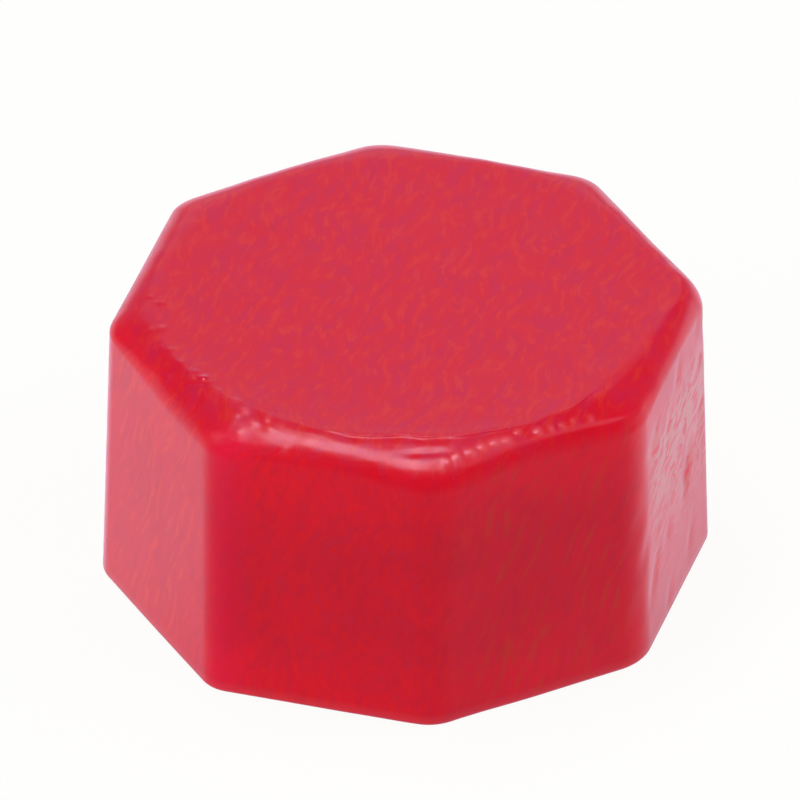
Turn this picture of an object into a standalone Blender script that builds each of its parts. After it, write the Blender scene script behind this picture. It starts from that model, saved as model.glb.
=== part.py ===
# Octagonal sealing wax bead: one solid casting, flat below and shallowly dished on top.
# Metres, +Z up, origin at the middle of the base, with two flanks facing +X and -X.

from math import atan2, cos, pi, radians, sin, sqrt, tan

import bmesh
import bpy

MM = 0.001

# Driving dimensions
SIDES = 8
BASE_ACROSS_FLATS = 8.0 * MM
HEIGHT = 4.4 * MM                # base to the crest of the rim
DRAFT_ANGLE = radians(1.4)       # each flank leans in by this much
UPRIGHT_EDGE_RADIUS = 0.65 * MM  # rounding of the edges between flanks, seen from above
BASE_EDGE_RADIUS = 0.1 * MM
SHOULDER_WIDTH = 0.4 * MM        # flank to dish, measured at the middle of a flank
SHOULDER_DROP = 0.35 * MM        # crest of the rim down to the top of a flank
DISH_DEPTH = 0.1 * MM
DISH_CURL = 4.0                  # power of the dish's profile: higher is flatter with a sharper lip

# Fineness of the facets
STEPS_PER_SIDE = 14
CORNER_CROWDING = 0.7            # 0 spreads the steps evenly, near 1 gathers them at the corners
BASE_EDGE_STEPS = 3
SHOULDER_STEPS = 8
DISH_STEPS = 6

WAX_COLOUR = (0.69, 0.013, 0.031, 1.0)
WAX_ROUGHNESS = 0.3

HALF_SIDE_ANGLE = pi / SIDES
SHOULDER_FOOT = HEIGHT - SHOULDER_DROP


def flank_apothem(z):
    """Distance from the axis to a flank at one height."""
    return BASE_ACROSS_FLATS / 2 - z * tan(DRAFT_ANGLE)


DISH_RADIUS = flank_apothem(SHOULDER_FOOT) - SHOULDER_WIDTH


def ring_angles():
    """Polar angles shared by every ring, crowded where the octagon's corners turn."""
    angles = []
    for side in range(SIDES):
        corner = (2 * side + 1) * HALF_SIDE_ANGLE
        for step in range(STEPS_PER_SIDE):
            share = 2 * step / STEPS_PER_SIDE - 1
            bent = (1 - CORNER_CROWDING) * share + CORNER_CROWDING * share ** 3
            angles.append(corner + HALF_SIDE_ANGLE * bent)
    return angles


def octagon_reach(angle, apothem):
    """Distance from the axis to a round-cornered octagon along one polar angle."""
    off_flat = abs((angle + HALF_SIDE_ANGLE) % (2 * HALF_SIDE_ANGLE) - HALF_SIDE_ANGLE)
    off_corner = HALF_SIDE_ANGLE - off_flat
    arc_centre_apothem = apothem - UPRIGHT_EDGE_RADIUS
    flat_end = atan2(arc_centre_apothem * tan(HALF_SIDE_ANGLE), apothem)
    if off_flat <= flat_end:
        return apothem / cos(off_flat)
    arc_centre = arc_centre_apothem / cos(HALF_SIDE_ANGLE)
    sideways = arc_centre * sin(off_corner)
    return arc_centre * cos(off_corner) + sqrt(UPRIGHT_EDGE_RADIUS ** 2 - sideways ** 2)


def base_edge_sections():
    """Octagons round the bottom edge, from the flat base out to the flank."""
    for step in range(BASE_EDGE_STEPS + 1):
        turn = pi / 2 * step / BASE_EDGE_STEPS
        z = BASE_EDGE_RADIUS * (1 - cos(turn))
        apothem = flank_apothem(z) - BASE_EDGE_RADIUS * (1 - sin(turn))
        yield z, [octagon_reach(angle, apothem) for angle in ring_angles()]


def shoulder_sections():
    """Outlines from the octagon at the top of the flanks to the circle of the dish."""
    apothem = flank_apothem(SHOULDER_FOOT)
    for step in range(SHOULDER_STEPS + 1):
        turn = pi / 2 * (1 - step / SHOULDER_STEPS)
        z = HEIGHT - SHOULDER_DROP * (1 - cos(turn))
        reaches = []
        for angle in ring_angles():
            overhang = octagon_reach(angle, apothem) - DISH_RADIUS
            reaches.append(DISH_RADIUS + overhang * sin(turn))
        yield z, reaches


def dish_sections():
    """Circles down into the dish, from just inside its rim."""
    for step in range(1, DISH_STEPS):
        share = 1 - (step / DISH_STEPS) ** 2
        z = HEIGHT - DISH_DEPTH * (1 - share ** DISH_CURL)
        yield z, [DISH_RADIUS * share for angle in ring_angles()]


def add_ring(bm, z, reaches):
    """One closed loop of edges at a height."""
    corners = []
    for angle, reach in zip(ring_angles(), reaches):
        corners.append(bm.verts.new((reach * cos(angle), reach * sin(angle), z)))
    return [bm.edges.new((corners[i - 1], corners[i])) for i in range(len(corners))]


def add_wax_bead():
    """Skins the sections from the base to the dish and closes both ends."""
    bm = bmesh.new()
    sections = [*base_edge_sections(), *shoulder_sections(), *dish_sections()]
    rings = [add_ring(bm, z, reaches) for z, reaches in sections]
    for lower, upper in zip(rings, rings[1:]):
        bmesh.ops.bridge_loops(bm, edges=lower + upper)
    bmesh.ops.edgeloop_fill(bm, edges=rings[0])
    dish_floor = bmesh.ops.edgeloop_fill(bm, edges=rings[-1])["faces"]
    bmesh.ops.poke(bm, faces=dish_floor)
    bmesh.ops.recalc_face_normals(bm, faces=bm.faces)

    mesh = bpy.data.meshes.new("wax_bead")
    bm.to_mesh(mesh)
    bm.free()
    mesh.shade_smooth()
    mesh.set_sharp_from_angle(angle=radians(40))
    bead = bpy.data.objects.new("wax_bead", mesh)
    bpy.context.scene.collection.objects.link(bead)
    return bead


def red_wax():
    """Glossy red sealing wax."""
    material = bpy.data.materials.new("red_wax")
    material.use_nodes = True
    shader = material.node_tree.nodes["Principled BSDF"]
    shader.inputs["Base Color"].default_value = WAX_COLOUR
    shader.inputs["Roughness"].default_value = WAX_ROUGHNESS
    shader.inputs["Metallic"].default_value = 0.0
    return material


for old in list(bpy.data.objects):
    bpy.data.objects.remove(old, do_unlink=True)

add_wax_bead().data.materials.append(red_wax())
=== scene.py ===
import bpy
import numpy as np
from mathutils import Matrix, Vector


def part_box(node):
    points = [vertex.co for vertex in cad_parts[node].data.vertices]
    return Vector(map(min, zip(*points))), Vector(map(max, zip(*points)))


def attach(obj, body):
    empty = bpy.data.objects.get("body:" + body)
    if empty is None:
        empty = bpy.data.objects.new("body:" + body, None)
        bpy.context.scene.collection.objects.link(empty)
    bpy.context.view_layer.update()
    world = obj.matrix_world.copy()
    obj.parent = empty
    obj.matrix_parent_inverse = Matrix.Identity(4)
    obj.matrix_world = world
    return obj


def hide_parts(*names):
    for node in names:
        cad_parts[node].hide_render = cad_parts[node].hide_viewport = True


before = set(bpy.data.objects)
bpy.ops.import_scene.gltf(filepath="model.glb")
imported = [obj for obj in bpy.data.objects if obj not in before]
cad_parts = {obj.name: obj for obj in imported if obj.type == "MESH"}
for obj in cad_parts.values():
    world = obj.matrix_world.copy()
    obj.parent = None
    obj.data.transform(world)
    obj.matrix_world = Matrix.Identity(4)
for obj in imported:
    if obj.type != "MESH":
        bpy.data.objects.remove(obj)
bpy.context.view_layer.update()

mm = 0.001
beadLow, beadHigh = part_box("wax_bead")
print("frame loaded, bead", [round(side / mm, 3) for side in beadHigh - beadLow], "mm")

# The cast bead. Lengths are in millimetres, angles in degrees round +Z from +X.
casting = {
    "sides": 8,
    "acrossFlats": 8.0,
    "height": (beadHigh.z - beadLow.z) / mm,
    "draftAngle": 1.4,       # how far each flank leans in
    # rounding of the upright edges, seen from above, by direction: (at the base, at the top)
    "uprightEdgeRadius": {22.5: (0.5, 0.65), 67.5: (0.6, 0.6), 112.5: (0.65, 0.65), 157.5: (0.55, 0.55),
                          202.5: (0.6, 0.65), 247.5: (0.5, 0.85), 292.5: (0.6, 1.1), 337.5: (0.8, 0.85)},
    # how far the flanks stand out from a true octagon, by direction: (at the base, at the top)
    "flankOffset": {0: (-0.01, 0.025), 22: (-0.005, 0.012), 45: (-0.02, -0.06), 67: (-0.03, -0.035),
                    80: (-0.04, -0.08), 105: (-0.04, -0.05), 135: (-0.02, -0.035), 180: (0.0, -0.02),
                    225: (0.015, 0.02), 270: (0.0, 0.0), 285: (-0.01, 0.0), 298: (-0.05, -0.01),
                    315: (-0.02, -0.02)},
    "baseEdgeRadius": 0.1,
    "dishDepth": 0.035,
    "dishCurl": 4.0,         # power of the dish's profile: higher is flatter with a sharper lip
    # the top at places round the bead: (dish radius, shoulder drop, curl, how far the rim sinks)
    # a low curl leaves a crisp rim, a high one rolls over slowly
    "rim": {
        0: (3.48, 0.36, 1.8, 0.015),
        8: (3.59, 0.36, 1.75, 0.02),
        17: (3.79, 0.43, 1.75, 0.03),
        24: (3.82, 0.46, 1.9, 0.035),
        32: (3.64, 0.36, 1.9, 0.035),
        45: (3.52, 0.30, 2.0, 0.035),
        67: (3.50, 0.32, 2.1, 0.035),
        112: (3.42, 0.32, 2.2, 0.035),
        157: (3.42, 0.33, 2.1, 0.03),
        180: (3.42, 0.36, 1.9, 0.02),
        202: (3.44, 0.36, 1.6, 0.01),
        213: (3.53, 0.41, 1.55, 0.005),
        222: (3.54, 0.47, 1.5, 0.0),
        232: (3.48, 0.52, 1.45, 0.0),
        250: (3.45, 0.49, 1.35, 0.0),
        258: (3.45, 0.40, 1.28, 0.0),
        270: (3.45, 0.385, 1.5, 0.0),
        277: (3.42, 0.42, 1.55, 0.0),
        285: (3.38, 0.515, 1.5, 0.0),
        292: (3.42, 0.55, 1.5, 0.0),
        299: (3.46, 0.50, 1.5, 0.0),
        315: (3.52, 0.425, 1.5, 0.0),
        328: (3.54, 0.47, 1.5, 0.0),
        341: (3.43, 0.46, 1.7, 0.005),
        352: (3.45, 0.37, 1.8, 0.01),
    },
    "rimWobble": 0.012,      # fine waves in the dish radius: their height, then (how many round, phase)
    "wobbleWaves": ((13, 0.4), (19, 2.1), (29, 4.0), (41, 5.2)),
    "anglesAround": 900,
    "ringsBase": 5,
    "ringsBaseEdge": 6,
    "ringsFlank": 30,
    "ringsShoulder": 34,
    "ringsDish": 30,
    # 1 spreads the rings evenly, more gathers them at the rim
    "shoulderCrowding": 1.4,
    "dishCrowding": 1.8,
    "seamAngle": 67.5,       # the texture's seam runs up one upright edge at the back
}

# Wrinkles that the wax keeps from cooling. Lengths are in millimetres, directions and fades in degrees.
wrinkles = {
    "seed": 7,
    # where the dish breaks off: a small step down just outside the rim, fading towards the edge
    "step": {"from": 270, "to": 332, "depth": 0.024, "width": 0.015, "fadeOut": 0.45},
    "lip": {"height": 0.0035, "inset": 0.08, "width": 0.06, "from": 272, "to": 312},
    "dishSwell": {"height": 0.0012, "length": 0.9, "fadeIn": 0.3},
    # on the shoulder, along the rim
    "ripple": {"height": 0.0005, "along": 0.9, "across": 0.13, "from": 215, "to": 345, "fade": 30},
    # small lumps on the shoulder, by direction: (radius, length outward, width, height, how pale the
    # painted highlight on it is)
    "lumps": {
        243.6: (3.456, 0.040, 0.045, 0.010, 0.40),
        246.1: (4.035, 0.040, 0.080, 0.010, 0.40),
        246.9: (3.669, 0.025, 0.030, 0.012, 0.50),
        247.6: (3.541, 0.035, 0.055, 0.014, 0.60),
        249.7: (3.870, 0.030, 0.045, 0.010, 0.35),
        251.3: (3.665, 0.035, 0.060, 0.014, 0.65),
        253.7: (3.516, 0.045, 0.030, 0.010, 0.35),
        255.7: (3.658, 0.035, 0.060, 0.009, 0.55),
        259.0: (3.700, 0.060, 0.070, 0.003, 0.50),
        260.8: (3.835, 0.035, 0.035, 0.008, 0.40),
        261.2: (3.680, 0.060, 0.070, 0.003, 0.50),
        264.5: (3.700, 0.050, 0.060, 0.004, 0.35),
        295.5: (3.850, 0.045, 0.040, 0.020, 0.60),
        297.7: (3.800, 0.060, 0.042, 0.028, 0.85),
        300.9: (3.750, 0.045, 0.058, 0.024, 0.90),
        303.6: (3.700, 0.045, 0.050, 0.024, 0.80),
        306.6: (3.672, 0.045, 0.062, 0.022, 0.90),
        309.3: (3.679, 0.045, 0.058, 0.022, 0.90),
        312.5: (3.596, 0.030, 0.035, 0.014, 0.55),
        317.0: (3.683, 0.040, 0.040, 0.020, 0.75),
        320.1: (3.700, 0.030, 0.030, 0.014, 0.55),
        322.8: (3.717, 0.035, 0.035, 0.014, 0.45),
        325.5: (3.720, 0.025, 0.025, 0.010, 0.35),
        329.4: (3.806, 0.035, 0.035, 0.014, 0.45),
    },
    # a thin bead of wax along the outer edge of the shoulder
    "edgeBead": {"from": 296, "to": 344, "inset": 0.12, "width": 0.050, "height": 0.018},
    # crumbs lie about this far outside the rim, give or take the scatter, in a range of sizes
    "crumbs": {"from": 196, "to": 242, "count": 22, "outward": 0.03, "scatter": 0.06,
               "width": 0.035, "height": 0.010, "sizes": (0.5, 1.3)},
    "fold": {"angle": 291, "spread": 4.5, "radius": 3.69, "width": 0.06, "depth": 0.020},
    # most of them on one flank: (from, to, fade), and what share of their depth is left elsewhere
    "dents": {"count": 170, "across": 0.10, "along": 0.14, "slant": 0.45, "depth": 0.014,
              "heights": (0.3, 4.0), "sizes": (0.5, 1.5), "gather": (-24, 24, 10), "elsewhere": 0.13},
}

# Zones of the profile, from the base up. On the shoulder the zone rises from the edge to the rim.
zoneBase, zoneBaseEdge, zoneFlank, zoneEdge, zoneRim, zoneDish = range(6)


def between(first, second, share):
    # the straight way from one value to the other
    return first + (second - first) * share


def around(angle, marks):
    # one row of values for each angle, eased between neighbouring marks by half a cosine wave
    places = np.array(sorted(marks))
    values = np.array([marks[place] for place in places])
    turned = np.degrees(angle) % 360
    after = np.searchsorted(places, turned, side="right") % len(places)
    before = after - 1
    share = (turned - places[before]) % 360 / ((places[after] - places[before]) % 360)
    eased = (1 - np.cos(np.pi * share)) / 2
    return between(values[before], values[after], eased[:, None]).T


def angleFrom(angle, degrees):
    # signed angle from a direction, wrapped to half a turn either way
    return (angle - np.radians(degrees) + np.pi) % (2 * np.pi) - np.pi


def within(angle, start, end, fade=8):
    # 1 between two directions, easing to 0 over the fade, which is centred on each of them
    inside = np.radians((end - start) / 2) - np.abs(angleFrom(angle, (start + end) / 2))
    return np.clip(inside / np.radians(fade) + 0.5, 0, 1)


def octagonReach(angle, z, inset=0.0):
    # distance from the axis to a round-cornered octagon: flat / cos inside a side, an arc near a corner
    half = np.pi / casting["sides"]
    risen = z / casting["height"]
    edgeRadii = np.array(list(casting["uprightEdgeRadius"].values()))
    nearestEdge = (angle // (2 * half)).astype(int) % casting["sides"]
    corner = between(*edgeRadii[nearestEdge].T, risen)
    apothem = casting["acrossFlats"] / 2 - z * np.tan(np.radians(casting["draftAngle"])) - inset
    apothem = apothem + between(*around(angle, casting["flankOffset"]), risen)
    offFlat = np.abs((angle + half) % (2 * half) - half)
    offCorner = half - offFlat
    flatEnd = np.arctan2((apothem - corner) * np.tan(half), apothem)
    arcCentre = (apothem - corner) / np.cos(half)
    sideways = arcCentre * np.sin(offCorner)
    arc = arcCentre * np.cos(offCorner) + np.sqrt(np.maximum(corner ** 2 - sideways ** 2, 0.0))
    return np.where(offFlat <= flatEnd, apothem / np.cos(offFlat), arc)


def aroundRim(angle):
    # the rim's eased values, with a sum of fine waves on the dish radius
    radius, drop, curl, sink = around(angle, casting["rim"])
    waves = casting["wobbleWaves"]
    wobble = sum(np.cos(count * angle + phase) for count, phase in waves) / np.sqrt(len(waves))
    return radius + casting["rimWobble"] * wobble, drop, curl, casting["height"] - sink


def innerShares(count):
    # even shares of a stretch cut into so many, without its two ends
    return np.linspace(0, 1, count + 1)[1:-1]


def profileRings(angle):
    # radius, height and zone of every ring for all angles at once: octagons up to the shoulder, a
    # superellipse over it from the octagon to the rim, and a power curve down into the dish
    rim, drop, curl, crest = aroundRim(angle)
    foot = casting["height"] - drop
    floor = casting["height"] - casting["dishDepth"]
    rounding = casting["baseEdgeRadius"]
    radii, heights, zones = [], [], []

    def add(zone, radius, z):
        radii.append(radius)
        heights.append(np.broadcast_to(z, radius.shape))
        zones.append(np.full(radius.shape, zone))

    baseOuter = octagonReach(angle, 0.0, rounding)
    for share in innerShares(casting["ringsBase"]):
        add(zoneBase, baseOuter * share, 0.0)
    for turn in np.linspace(0, np.pi / 2, casting["ringsBaseEdge"] + 1):
        z = rounding * (1 - np.cos(turn))
        add(zoneBaseEdge, octagonReach(angle, z, rounding * (1 - np.sin(turn))), z)
    for share in innerShares(casting["ringsFlank"]):
        z = between(rounding, foot, share)
        add(zoneFlank, octagonReach(angle, z), z)
    edge = octagonReach(angle, foot)
    for step in np.linspace(1, 0, casting["ringsShoulder"] + 1):
        share = np.sin(np.pi / 2 * step ** casting["shoulderCrowding"])
        z = between(foot, crest, np.sqrt(1 - share ** curl))
        add(zoneRim - share, between(rim, edge, share), z)
    for step in innerShares(casting["ringsDish"]):
        share = 1 - step ** casting["dishCrowding"]
        add(zoneDish, rim * share, between(floor, crest, share ** casting["dishCurl"]))
    return np.array(radii), np.array(heights), np.array(zones), rim, edge


def swell(x, y, length, seed, waves=16, stretches=(0.6, 1.6)):
    # soft unevenness: a sum of plane waves of like length in random directions
    draw = np.random.default_rng(seed)
    total = np.zeros(np.broadcast(x, y).shape)
    lows, highs = zip((0, 2 * np.pi), (0, 2 * np.pi), stretches)
    for turn, phase, stretch in draw.uniform(lows, highs, (waves, 3)):
        along = x * np.cos(turn) + y * np.sin(turn)
        total += np.cos(2 * np.pi * along / (length * stretch) + phase)
    return total * np.sqrt(2 / waves)


def rimWaves(angle, radius, along, across, seed, waves=30, stretches=(0.6, 1.8)):
    # soft ridges that follow the rim: waves that are short across it and long along it
    draw = np.random.default_rng(seed)
    total = np.zeros(np.broadcast(angle, radius).shape)
    reach = casting["acrossFlats"] / 2
    lows, highs = zip((0, 2 * np.pi), (0, 2 * np.pi), stretches)
    for turn, phase, stretch in draw.uniform(lows, highs, (waves, 3)):
        drift = reach / along * np.cos(angle - turn)
        total += np.cos(2 * np.pi * (radius / across + drift) / stretch + phase)
    return total * np.sqrt(2 / waves)


def mound(angle, radius, place, reach, length, width):
    # a small Gaussian heap at one direction and distance from the axis
    across = angleFrom(angle, place) * radius / width
    outward = (radius - reach) / length
    return np.exp(-(across ** 2 + outward ** 2) / 2)


def dishWrinkles(angle, radius, rim):
    # the dish swells inside the rim, the ripples run outside it, and the lip stands just within it
    dish, ripple, lip = wrinkles["dishSwell"], wrinkles["ripple"], wrinkles["lip"]
    inside = np.clip((rim - radius) / dish["fadeIn"], 0, 1)
    x, y = radius * np.cos(angle), radius * np.sin(angle)
    lift = dish["height"] * inside * swell(x, y, dish["length"], wrinkles["seed"])
    rippled = (1 - inside) * within(angle, ripple["from"], ripple["to"], ripple["fade"])
    ridges = rimWaves(angle, radius, ripple["along"], ripple["across"], wrinkles["seed"] + 1)
    lift += ripple["height"] * rippled * ridges
    ridge = np.exp(-((radius - rim + lip["inset"]) / lip["width"]) ** 2)
    return lift + lip["height"] * within(angle, lip["from"], lip["to"]) * ridge


def shoulderWrinkles(angle, radius, rim, edge):
    # the step, the bead along the edge, the lumps, the crumbs and the fold, each worked out in turn
    step, bead = wrinkles["step"], wrinkles["edgeBead"]
    crumbs, fold = wrinkles["crumbs"], wrinkles["fold"]
    fallen = 1 - np.exp(-np.maximum(radius - rim, 0) / step["width"])
    fallen = fallen * np.clip((edge - radius) / step["fadeOut"], 0, 1)
    lift = -step["depth"] * within(angle, step["from"], step["to"]) * fallen
    ridge = np.exp(-((radius - edge + bead["inset"]) / bead["width"]) ** 2 / 2)
    lift += bead["height"] * within(angle, bead["from"], bead["to"]) * ridge
    for place, (*shape, height, _) in wrinkles["lumps"].items():
        lift += height * mound(angle, radius, place, *shape)
    draw = np.random.default_rng(wrinkles["seed"] + 2)
    for place in draw.uniform(crumbs["from"], crumbs["to"], crumbs["count"]):
        size = draw.uniform(*crumbs["sizes"])
        reach = rim + draw.normal(crumbs["outward"], crumbs["scatter"])
        width = crumbs["width"] * size
        lift += crumbs["height"] * size * mound(angle, radius, place, reach, width, width)
    aside = angleFrom(angle, fold["angle"]) / np.radians(fold["spread"])
    outward = (radius - fold["radius"]) / fold["width"]
    return lift - fold["depth"] * np.exp(-aside ** 2 - outward ** 2)


def flankDents(angle, z):
    # short slanted dents scattered over the flanks, each a long thin Gaussian
    dents = wrinkles["dents"]
    draw = np.random.default_rng(wrinkles["seed"] + 3)
    lift = np.zeros(angle.shape)
    reach = casting["acrossFlats"] / 2
    lows, highs = zip((0, 360), dents["heights"], dents["sizes"])
    for place, height, size in draw.uniform(lows, highs, (dents["count"], 3)):
        up = z - height
        across = (angleFrom(angle, place) * reach - up * dents["slant"]) / dents["across"]
        along = up / (dents["along"] * size)
        lift -= dents["depth"] * size * np.exp(-(across ** 2 + along ** 2) / 2)
    return lift * between(dents["elsewhere"], 1, within(angle, *dents["gather"]))


def surfaceNormals(points):
    # cross product of the two grid directions: round the axis, where the grid wraps, and up the profile
    aside = np.roll(points, -1, axis=1) - np.roll(points, 1, axis=1)
    upward = np.gradient(points, axis=0)
    normal = np.cross(aside, upward)
    return normal / np.linalg.norm(normal, axis=2, keepdims=True)


def skinned(points):
    # quads between neighbouring rings, closed round the axis, and a fan of triangles at each end
    rings, count = points.shape[:2]
    column = np.arange(count)
    nextColumn = (column + 1) % count
    ring = np.arange(rings - 1)[:, None] * count
    above = ring + count
    quads = np.stack([ring + column, ring + nextColumn, above + nextColumn, above + column], axis=2)
    lastRing = (rings - 1) * count
    under = np.stack([nextColumn, column, np.full(count, rings * count)], axis=1)
    over = np.stack([lastRing + column, lastRing + nextColumn, np.full(count, rings * count + 1)], axis=1)
    vertices = np.concatenate([points.reshape(-1, 3), [[0, 0, 0]], points[-1:].mean(axis=1)]) * mm
    mesh = bpy.data.meshes.new("bead")
    mesh.from_pydata(vertices, [], quads.reshape(-1, 4).tolist() + under.tolist() + over.tolist())
    mesh.shade_smooth()
    return mesh


def unroll(mesh, points):
    # texture map in millimetres, in the order of the faces: distance round the flank and up the profile
    rings, count = points.shape[:2]
    column, ring = np.meshgrid(np.arange(count), np.arange(rings - 1))
    fan = np.arange(count)
    step = np.pi * casting["acrossFlats"] / count
    up = np.concatenate([[0], np.cumsum(np.linalg.norm(np.diff(points[:, 0], axis=0), axis=1))])
    quadsU = np.stack([column, column + 1, column + 1, column], axis=2)
    quadsV = np.stack([up[ring], up[ring], up[ring + 1], up[ring + 1]], axis=2)
    underU = np.stack([fan + 1, fan, fan], axis=1)
    overU = np.stack([fan, fan + 1, fan], axis=1)
    u = np.concatenate([quadsU.ravel(), underU.ravel(), overU.ravel()]) * step
    v = np.concatenate([quadsV.ravel(), np.zeros(underU.size), np.full(overU.size, up[-1])])
    layer = mesh.uv_layers.new(name="unrolled")
    layer.data.foreach_set("uv", np.stack([u, v], axis=1).ravel())


def castBead():
    # rings of points round the axis, pushed out along their normals by the wrinkles and the dents
    start = np.radians(casting["seamAngle"])
    angle = start + np.linspace(0, 2 * np.pi, casting["anglesAround"], endpoint=False)
    radii, heights, zones, rim, edge = profileRings(angle)
    angles = np.broadcast_to(angle, radii.shape)
    points = np.stack([radii * np.cos(angles), radii * np.sin(angles), heights], axis=2)
    onTop = dishWrinkles(angles, radii, rim) + shoulderWrinkles(angles, radii, rim, edge)
    lift = np.where(zones >= zoneEdge, onTop, 0.0)
    lift += np.where((zones >= zoneFlank) & (zones < zoneRim), flankDents(angles, heights), 0.0)
    points += surfaceNormals(points) * lift[:, :, None]
    mesh = skinned(points)
    unroll(mesh, points)
    markFinishes(mesh, angles, radii, heights, zones, rim)
    mesh.validate()
    piece = bpy.data.objects.new("wax_casting", mesh)
    bpy.context.scene.collection.objects.link(piece)
    return piece


# Red sealing wax. Colours are linear, lengths in millimetres.
# Where a finish lies round the bead: (from, to, fade), in degrees.
# How a pattern or a height becomes a share or a roughness: (starts at, ends at, first value, last value).
wax = {
    # painted light: the flanks' red is lighter than the top's, making up for the flanks getting less lamp
    # light
    "flankRed": (0.79, 0.003, 0.017, 1.0),
    "topRed": (0.70, 0.003, 0.018, 1.0),
    "deep": (0.725, 0.003, 0.020, 1.0),
    "magenta": (0.725, 0.008, 0.034, 1.0),
    "orange": (0.735, 0.020, 0.015, 1.0),
    "lilac": (0.640, 0.003, 0.044, 1.0),
    # the warm marks on the flanks: plain ones and, where the flanks are streaked, their own
    "warm": {
        "plain": (0.84, 0.004, 0.011, 1.0),
        "right": (0.68, 0.023, 0.014, 1.0),
        "left": (0.87, 0.024, 0.008, 1.0),
    },
    "streaked": {"right": (298, 342, 16), "left": (204, 243, 16)},
    "coolShare": (0.44, 0.66, 0.0, 0.85),      # from the clouds
    "warmShare": (0.50, 0.70, 0.0, 0.8),       # from the grain's ridges
    "coolerShare": (0.50, 0.30, 0.0, 0.6),     # from the grain's hollows
    "reflectionStrip": (246, 253, 6),                  # a painted reflection: a strip beside one upright edge, nearer to magenta
    "reflectionStripTint": (0.83, 0.003, 0.046, 1.0),
    "reflectionStripShare": 0.6,
    # the colour is multiplied by the shade: painted shade half way up some flanks, lighter towards the foot
    # and the top, and darker tone in broad random patches
    "shade": (0.76, 1.0, 0.95, 1.0),
    "paintedShadeFlanks": (246, 340, 8),
    "paintedShadeRise": (0.2, 1.6, 0.0, 1.0),
    "paintedShadeFall": (4.1, 2.6, 0.0, 0.55),
    "patchLength": 1.5,
    "patchShare": (0.35, 0.65, 0.0, 0.25),
    # drawn-out marks: width, length, the direction they run in degrees, and how far they wander
    "strokes": {"across": 0.10, "along": 0.34, "direction": 95, "wander": 0.6},
    "clouds": {"across": 0.20, "along": 0.60, "direction": 88, "wander": 0.5},
    "streaks": {"across": 0.09, "along": 0.9, "direction": 69, "wander": 0.3},
    "flecks": {"across": 0.07, "along": 0.24, "direction": 84, "wander": 0.6},
    "clumps": {"across": 0.16, "along": 0.45, "direction": 70, "wander": 0.5},
    "skin": {"across": 0.07, "along": 0.35, "direction": 0, "wander": 0.5},
    "frost": {"across": 0.10, "along": 0.30, "direction": 20, "wander": 0.5},
    "wanderLength": 1.2,
    "markDetail": 2.5,
    "markDistortion": 0.3,
    # a painted reflection on one flank: a pale film in a frosted pattern, thin at the foot; the frost's
    # relief lies there too
    "frostAndReflection": (-16, 22, 6),
    "frostAndReflectionTop": (3.8, 0.7),                    # the height where it ends, and its fade below it
    "paintedReflectionTint": (0.70, 0.235, 0.21, 1.0),
    "paintedReflectionFilm": (0.43, 0.53, 0.0, 1.0),
    "paintedReflectionHeight": (0.7, 3.0, 0.05, 1.0),
    # painted highlights on the lumps, and paler colour round the bottom edge
    "paleFootAndHighlightTint": (0.82, 0.085, 0.115, 1.0),
    "paleFoot": 0.28,
    # how the finishes meet on the shoulder, in shares of the way from the edge to the rim
    "topFull": 1 / 2,        # the top's marks are full from here on
    "flankEnd": (0.6, 1 / 3),                  # where the flanks' tints end, and their fade below it
    "rolled": (225, 322, 20),                  # the front of the shoulder has a rougher skin
    "rolledFull": 1 / 6,
    "rolledReach": 0.25,     # how far that skin runs on into the dish
    "glossFrom": (0.3, 0.7),                   # of the clouds, from glossiest to dullest
    "roughness": (0.12, 0.24),
    "rolledRoughness": (0.22, 0.34),
    # relief of the patterns
    "streakRelief": 0.0003,
    "strokeRelief": 0.0010,
    "skinRelief": 0.0014,
    "frostRelief": 0.004,
    "ior": 1.32,
    "gleam": (0.49, 0.75, 0.95, 1.0),          # tint of what the wax mirrors
    "bloom": 1.0,            # the pale film that wax grows, seen at a slant
    "bloomTint": (1.0, 0.475, 0.82, 1.0),
    "bloomRoughness": 0.37,
    "glowWeight": 0.2,       # light that enters the wax and comes out again
    "glowRadius": (0.40, 0.06, 0.05),
}


def fadedBelow(value, end, fade):
    # 0 from the end up, 1 below the fade, straight between them
    return np.clip((end - value) / fade, 0, 1)


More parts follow.
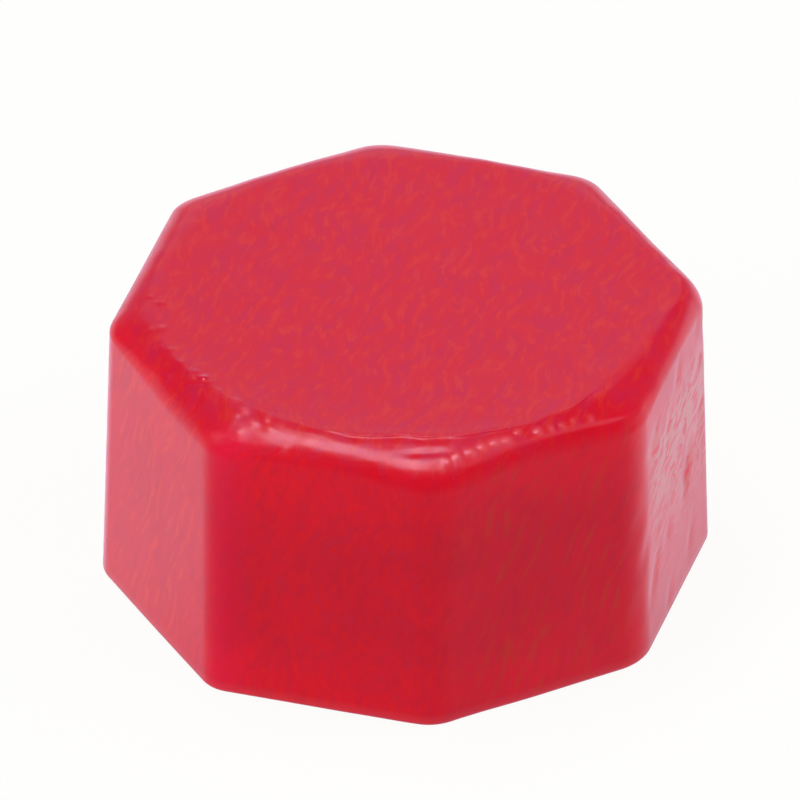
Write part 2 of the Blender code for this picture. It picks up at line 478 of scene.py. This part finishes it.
def markFinishes(mesh, angles, radii, heights, zones, rim):
    # where each finish of the wax lies, as a share from 0 to 1 at every point
    acrossShoulder = zones - zoneEdge
    flank = fadedBelow(acrossShoulder, *wax["flankEnd"])
    rolled = np.clip(acrossShoulder / wax["rolledFull"], 0, 1)
    rolled = rolled * np.clip(1 - (rim - radii) / wax["rolledReach"], 0, 1)
    # the foot is paler all round its edge, fading over the same height above it
    paleFootAndHighlights = wax["paleFoot"] * np.clip((zones > zoneBase) * (2 - heights / casting["baseEdgeRadius"]), 0, 1)
    # painted highlights on the lumps
    for place, (*shape, _, pale) in wrinkles["lumps"].items():
        paleFootAndHighlights += pale * mound(angles, radii, place, *shape) * (zones > zoneEdge)
    streaked = {side: within(angles, *places) for side, places in wax["streaked"].items()}
    shares = {
        "onTop": np.clip(acrossShoulder / wax["topFull"], 0, 1),
        "paleFootAndHighlights": np.clip(paleFootAndHighlights, 0, 1),
        "reflectionStrip": within(angles, *wax["reflectionStrip"]) * flank,
        "paintedShadeFlanks": within(angles, *wax["paintedShadeFlanks"]) * flank,
        "rolled": within(angles, *wax["rolled"]) * rolled,
        "streaked": sum(streaked.values()),
        "frostAndReflection": within(angles, *wax["frostAndReflection"]) * fadedBelow(heights, *wax["frostAndReflectionTop"]),
    }
    # the last two points are the middle of the base and the middle of the dish
    for name, share in shares.items():
        middles = (0, 1) if name == "onTop" else (0, 0)
        values = np.concatenate([share.ravel(), middles])
        mesh.attributes.new(name, "FLOAT", "POINT").data.foreach_set("value", values)
    warm = np.broadcast_to(wax["warm"]["plain"], (*angles.shape, 4))
    for side, share in streaked.items():
        warm = between(warm, np.array(wax["warm"][side]), share[:, :, None])
    values = np.concatenate([warm.reshape(-1, 4), [wax["warm"]["plain"]] * 2])
    mesh.attributes.new("warm", "FLOAT_COLOR", "POINT").data.foreach_set("color", values.ravel())


class NodeTree:
    # a material's nodes, with sockets wired by passing them where a number would go

    def __init__(self, tree):
        self.tree = tree

    def add(self, kind, inputs=None, **settings):
        made = self.tree.nodes.new(kind)
        for name, value in settings.items():
            setattr(made, name, value)
        for name, value in (inputs or {}).items():
            self.put(made.inputs[name], value)
        return made

    def put(self, socket, value):
        if isinstance(value, bpy.types.NodeSocket):
            self.tree.links.new(value, socket)
        else:
            socket.default_value = value

    def attribute(self, name, output="Fac"):
        return self.add("ShaderNodeAttribute", attribute_name=name).outputs[output]

    def plus(self, first, second):
        return self.add("ShaderNodeMath", {0: first, 1: second}, operation="ADD").outputs[0]

    def times(self, first, second):
        return self.add("ShaderNodeMath", {0: first, 1: second}, operation="MULTIPLY").outputs[0]

    def vectors(self, operation, first, second, output="Vector"):
        return self.add("ShaderNodeVectorMath", {0: first, 1: second}, operation=operation).outputs[output]

    def mapped(self, vector, **changes):
        return self.add("ShaderNodeMapping", {"Vector": vector, **changes}).outputs["Vector"]

    def noise(self, vector, length, detail=1.0, distortion=0.0):
        inputs = {"Vector": vector, "Scale": 1 / length, "Detail": detail, "Distortion": distortion}
        return self.add("ShaderNodeTexNoise", inputs).outputs

    def ranged(self, value, low, high, toLow=0.0, toHigh=1.0):
        inputs = {"Value": value, "From Min": low, "From Max": high, "To Min": toLow, "To Max": toHigh}
        return self.add("ShaderNodeMapRange", inputs, interpolation_type="SMOOTHSTEP").outputs["Result"]

    def blend(self, share, first, second):
        # the mix node lists its number sockets as 2 and 3
        return self.add("ShaderNodeMix", {0: share, 2: first, 3: second}, data_type="FLOAT").outputs[0]

    def tone(self, share, first, second, kind="MIX"):
        # and its colour sockets as 6 and 7
        inputs = {0: share, 6: first, 7: second}
        return self.add("ShaderNodeMix", inputs, data_type="RGBA", blend_type=kind).outputs[2]


def drawnOut(nodes, vector, marks):
    # noise led astray by a slow noise, then turned and stretched along the marks' direction
    astray = nodes.noise(vector, wax["wanderLength"])["Color"]
    astray = nodes.vectors("MULTIPLY", astray, (marks["wander"],) * 3)
    led = nodes.vectors("ADD", vector, astray)
    turned = nodes.mapped(led, Rotation=(0, 0, np.radians(90 - marks["direction"])))
    drawn = nodes.mapped(turned, Scale=(1, marks["across"] / marks["along"], 1))
    return nodes.noise(drawn, marks["across"], wax["markDetail"], wax["markDistortion"])["Fac"]


def waxPatterns(nodes):
    # what the colour, the gloss and the relief share: places and marks, by name
    place = nodes.mapped(nodes.add("ShaderNodeTexCoord").outputs["Object"], Scale=(1 / mm,) * 3)
    unrolled = nodes.add("ShaderNodeUVMap", uv_map="unrolled").outputs["UV"]
    onTop = nodes.attribute("onTop")
    flankMarks = {name: drawnOut(nodes, unrolled, wax[name]) for name in ("flecks", "streaks", "clumps")}
    topMarks = {name: drawnOut(nodes, place, wax[name]) for name in ("strokes", "clouds")}
    flankGrain = nodes.blend(nodes.attribute("streaked"), flankMarks["flecks"], flankMarks["streaks"])
    return {
        "place": place,
        "height": nodes.add("ShaderNodeSeparateXYZ", {0: place}).outputs["Z"],
        "onTop": onTop,
        "rolled": nodes.attribute("rolled"),
        "frostAndReflection": nodes.attribute("frostAndReflection"),
        "grain": nodes.blend(onTop, flankGrain, topMarks["strokes"]),
        "cloud": nodes.blend(onTop, flankMarks["clumps"], topMarks["clouds"]),
        "skin": drawnOut(nodes, unrolled, wax["skin"]),
        "frost": drawnOut(nodes, unrolled, wax["frost"]),
    }


def waxColour(nodes, pattern):
    # red, lighter on the flanks as painted light, mottled by clouds and grain and darker in random patches,
    # with a painted reflection in a strip, painted shade half way up the flanks, a painted reflection as a
    # pale film on one flank, and painted highlights on the lumps with a paler foot laid over it
    onTop, grain, height = pattern["onTop"], pattern["grain"], pattern["height"]
    # painted light: the flanks take a lighter red than the top
    base = nodes.tone(onTop, wax["flankRed"], wax["topRed"])
    cool = nodes.tone(onTop, wax["deep"], wax["lilac"])
    warm = nodes.tone(onTop, nodes.attribute("warm", "Color"), wax["orange"])
    cooler = nodes.tone(onTop, wax["magenta"], wax["lilac"])
    tone = nodes.tone(nodes.ranged(pattern["cloud"], *wax["coolShare"]), base, cool)
    tone = nodes.tone(nodes.ranged(grain, *wax["warmShare"]), tone, warm)
    tone = nodes.tone(nodes.ranged(grain, *wax["coolerShare"]), tone, cooler)
    # painted reflection: a magenta strip beside one upright edge
    reflectionStrip = nodes.times(nodes.attribute("reflectionStrip"), wax["reflectionStripShare"])
    tone = nodes.tone(reflectionStrip, tone, wax["reflectionStripTint"])
    # painted shade: the front flanks darker half way up than near the foot and the top
    paintedShade = nodes.times(nodes.ranged(height, *wax["paintedShadeRise"]), nodes.ranged(height, *wax["paintedShadeFall"]))
    paintedShade = nodes.times(paintedShade, nodes.attribute("paintedShadeFlanks"))
    tone = nodes.tone(paintedShade, tone, wax["shade"], "MULTIPLY")
    patches = nodes.noise(pattern["place"], wax["patchLength"])["Fac"]
    patches = nodes.blend(onTop, nodes.ranged(patches, *wax["patchShare"]), 0.0)
    tone = nodes.tone(patches, tone, wax["shade"], "MULTIPLY")
    # painted reflection: a pale pink film on one flank, thinner towards the foot
    paintedReflection = nodes.ranged(pattern["frost"], *wax["paintedReflectionFilm"])
    paintedReflection = nodes.times(paintedReflection, nodes.ranged(height, *wax["paintedReflectionHeight"]))
    tone = nodes.tone(nodes.times(paintedReflection, pattern["frostAndReflection"]), tone, wax["paintedReflectionTint"])
    # painted highlights on the lumps and a paler foot
    return nodes.tone(nodes.attribute("paleFootAndHighlights"), tone, wax["paleFootAndHighlightTint"])


def waxRoughness(nodes, pattern):
    # duller where the clouds are dense, and rougher all over the front of the shoulder
    smooth = nodes.ranged(pattern["cloud"], *wax["glossFrom"], *wax["roughness"])
    rough = nodes.ranged(pattern["cloud"], *wax["glossFrom"], *wax["rolledRoughness"])
    return nodes.blend(pattern["rolled"], smooth, rough)


def waxRelief(nodes, pattern):
    # the grain all over, the skin on the front of the shoulder and the frost on its flank, added up
    depth = nodes.blend(pattern["onTop"], wax["streakRelief"] * mm, wax["strokeRelief"] * mm)
    raised = nodes.times(pattern["grain"], depth)
    skin = nodes.times(pattern["skin"], wax["skinRelief"] * mm)
    raised = nodes.plus(raised, nodes.times(skin, pattern["rolled"]))
    frost = nodes.times(pattern["frost"], wax["frostRelief"] * mm)
    raised = nodes.plus(raised, nodes.times(frost, pattern["frostAndReflection"]))
    bump = nodes.add("ShaderNodeBump", {"Strength": 1.0, "Distance": 1.0, "Height": raised})
    return bump.outputs["Normal"]


def sealingWax():
    material = bpy.data.materials.new("sealing_wax")
    material.use_nodes = True
    nodes = NodeTree(material.node_tree)
    pattern = waxPatterns(nodes)
    sockets = {
        "Base Color": waxColour(nodes, pattern),
        "Roughness": waxRoughness(nodes, pattern),
        "Normal": waxRelief(nodes, pattern),
        "IOR": wax["ior"],
        "Specular Tint": wax["gleam"],
        "Sheen Weight": wax["bloom"],
        "Sheen Tint": wax["bloomTint"],
        "Sheen Roughness": wax["bloomRoughness"],
        "Subsurface Weight": wax["glowWeight"],
        "Subsurface Radius": wax["glowRadius"],
        "Subsurface Scale": mm,
    }
    shader = material.node_tree.nodes["Principled BSDF"]
    for name, value in sockets.items():
        nodes.put(shader.inputs[name], value)
    return material


piece = castBead()
piece.data.materials.append(sealingWax())
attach(piece, "root")
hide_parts("wax_bead")
print("wax cast,", len(piece.data.vertices), "points")

# Camera: where the photograph was taken from. Distances in millimetres, angles in degrees.
shot = {
    "azimuth": 16.77,
    "elevation": 35.04,
    "distance": 377.7,
    "imageSide": 800,
    "pixelsPerMm": 71.15,
    "centrePixel": (405.75, 425.2),      # where the middle of the bead lies in the image
    "sensorWidth": 36,
}

azimuth = np.radians(shot["azimuth"])
elevation = np.radians(shot["elevation"])
right = Vector((np.cos(azimuth), np.sin(azimuth), 0))
away = Vector((-np.sin(azimuth), np.cos(azimuth), 0))
up = Vector((0, 0, 1))
forward = away * np.cos(elevation) - up * np.sin(elevation)
upright = right.cross(forward)
beadMiddle = (beadLow + beadHigh) / 2


def aimed(name, data, place, target):
    made = bpy.data.objects.new(name, data)
    bpy.context.scene.collection.objects.link(made)
    made.location = place
    made.rotation_mode = "QUATERNION"
    made.rotation_quaternion = (target - place).to_track_quat("-Z", "Y")
    return made


def setCamera():
    # aimed beside the middle of the bead, by as much as the bead stands off the middle of the image
    half = shot["imageSide"] / 2
    offRight, offDown = [(pixel - half) / shot["pixelsPerMm"] * mm for pixel in shot["centrePixel"]]
    target = beadMiddle - right * offRight + upright * offDown
    lens = bpy.data.cameras.new("camera")
    lens.sensor_width = shot["sensorWidth"]
    lens.lens = shot["sensorWidth"] * shot["distance"] * shot["pixelsPerMm"] / shot["imageSide"]
    bpy.context.scene.camera = aimed("camera", lens, target - forward * shot["distance"] * mm, target)


setCamera()
print("camera set")

# Studio: directions are right, away and up as the camera sees them. Sizes and distances in millimetres.
studio = {
    "floorColour": (0.95, 0.95, 0.935, 1.0),
    "white": (1.0, 1.0, 0.985, 1.0),
    "floorGlow": 0.94,       # share of plain white in the floor that the camera and the wax see
    "floorSide": 600,
    "floorGap": 0.002,       # how far the floor lies below the base
    "skyLight": 0.28,        # what the surroundings throw on the wax
    "skyDark": 0.12,         # what the wax mirrors high up
    "horizon": (0.0, 0.24),  # sine of the height at which the mirrored surroundings turn from white to dark
    "frontDark": 0.35,       # what the wax mirrors low down on the camera's side
    "frontFloor": (-5, -0.4),     # where the mirrored floor turns dark towards the camera
    "frontSky": (-0.5, 0.0),      # the same for the sky, as a share of its direction
    # mirrored: seen in the wax; lights: throws light on it
    "lamps": {
        "softbox": {"toward": (-0.2, 0.13, 0.97), "distance": 90, "sides": (22, 46),
                    "radiance": 7.5, "mirrored": False, "lights": True},
        "gleamCard": {"toward": (-0.15, -0.06, 0.97), "distance": 90, "sides": (50, 42),
                      "radiance": 13.5, "mirrored": True, "lights": False},
        "backCard": {"toward": (0.0, 0.82, 0.57), "distance": 110, "sides": (70, 70),
                     "radiance": 0.5, "mirrored": True, "lights": True},
        "rimCard": {"toward": (0.55, -0.2, 0.81), "distance": 110, "sides": (60, 60),
                    "radiance": 1.6, "mirrored": True, "lights": True},
        "leftFill": {"toward": (-0.7, -0.55, 0.45), "distance": 160, "sides": (120, 120),
                     "radiance": 2.25, "mirrored": False, "lights": True},
        "rightFill": {"toward": (0.95, 0.1, 0.35), "distance": 160, "sides": (120, 120),
                      "radiance": 1.7, "mirrored": False, "lights": True},
    },
}


def addLamp(name, settings):
    # the first side lies along the bead's left front flank, the second across it
    lamp = bpy.data.lights.new(name, "AREA")
    lamp.shape = "RECTANGLE"
    lamp.size, lamp.size_y = [side * mm for side in settings["sides"]]
    lamp.energy = settings["radiance"] * np.pi * lamp.size * lamp.size_y
    x, y, z = settings["toward"]
    direction = (right * x + away * y + up * z).normalized()
    made = aimed(name, lamp, beadMiddle + direction * settings["distance"] * mm, beadMiddle)
    across = direction.cross(Vector((1, 0, 0))).normalized()
    axes = Matrix((across.cross(direction), across, direction)).transposed()
    made.rotation_quaternion = axes.to_quaternion()
    made.visible_camera = False
    made.visible_glossy = settings["mirrored"]
    made.visible_diffuse = settings["lights"]


def seenRay(nodes):
    # 1 for what the camera sees, straight or in the wax
    path = nodes.add("ShaderNodeLightPath").outputs
    seen = nodes.plus(path["Is Camera Ray"], path["Is Glossy Ray"])
    return nodes.plus(seen, path["Is Transmission Ray"])


def fromBehind(nodes, vector, start, end):
    # 1 away from the camera, falling to the dark front between two distances towards it
    ahead = nodes.vectors("DOT_PRODUCT", vector, tuple(away), "Value")
    return nodes.ranged(ahead, start, end, studio["frontDark"], 1.0)


def floorWhite():
    # a matt floor that takes the shadow, mixed with plain white where it is seen
    material = bpy.data.materials.new("floor_white")
    material.use_nodes = True
    material.node_tree.nodes.clear()
    nodes = NodeTree(material.node_tree)
    matt = nodes.add("ShaderNodeBsdfDiffuse", {"Color": studio["floorColour"]}).outputs[0]
    place = nodes.add("ShaderNodeTexCoord").outputs["Object"]
    # painted shade: the floor that the wax mirrors turns darker towards the camera
    mirrored = fromBehind(nodes, place, *[distance * mm for distance in studio["frontFloor"]])
    glossy = nodes.add("ShaderNodeLightPath").outputs["Is Glossy Ray"]
    strength = nodes.blend(glossy, 1.0, mirrored)
    white = nodes.add("ShaderNodeEmission", {"Color": studio["white"], "Strength": strength}).outputs[0]
    share = nodes.times(seenRay(nodes), studio["floorGlow"])
    both = nodes.add("ShaderNodeMixShader", {0: share, 1: matt, 2: white}).outputs[0]
    nodes.add("ShaderNodeOutputMaterial", {"Surface": both})
    return material


def addFloor():
    half = studio["floorSide"] / 2 * mm
    z = -studio["floorGap"] * mm
    corners = [(-half, -half, z), (half, -half, z), (half, half, z), (-half, half, z)]
    mesh = bpy.data.meshes.new("floor")
    mesh.from_pydata(corners, [], [(0, 1, 2, 3)])
    mesh.materials.append(floorWhite())
    floor = bpy.data.objects.new("floor", mesh)
    bpy.context.scene.collection.objects.link(floor)


def addSky():
    # even light on the wax; what the camera and the wax see is white low down and dark above
    world = bpy.data.worlds.new("studio")
    world.use_nodes = True
    nodes = NodeTree(world.node_tree)
    direction = nodes.add("ShaderNodeTexCoord").outputs["Generated"]
    height = nodes.add("ShaderNodeSeparateXYZ", {0: direction}).outputs["Z"]
    shown = nodes.ranged(height, *studio["horizon"], 1.0, studio["skyDark"])
    shown = nodes.times(shown, fromBehind(nodes, direction, *studio["frontSky"]))
    background = world.node_tree.nodes["Background"]
    nodes.put(background.inputs["Color"], studio["white"])
    nodes.put(background.inputs["Strength"], nodes.blend(seenRay(nodes), studio["skyLight"], shown))
    bpy.context.scene.world = world


addFloor()
addSky()
for name, settings in studio["lamps"].items():
    addLamp(name, settings)
bpy.context.scene.view_settings.view_transform = "Standard"
print("studio lit")
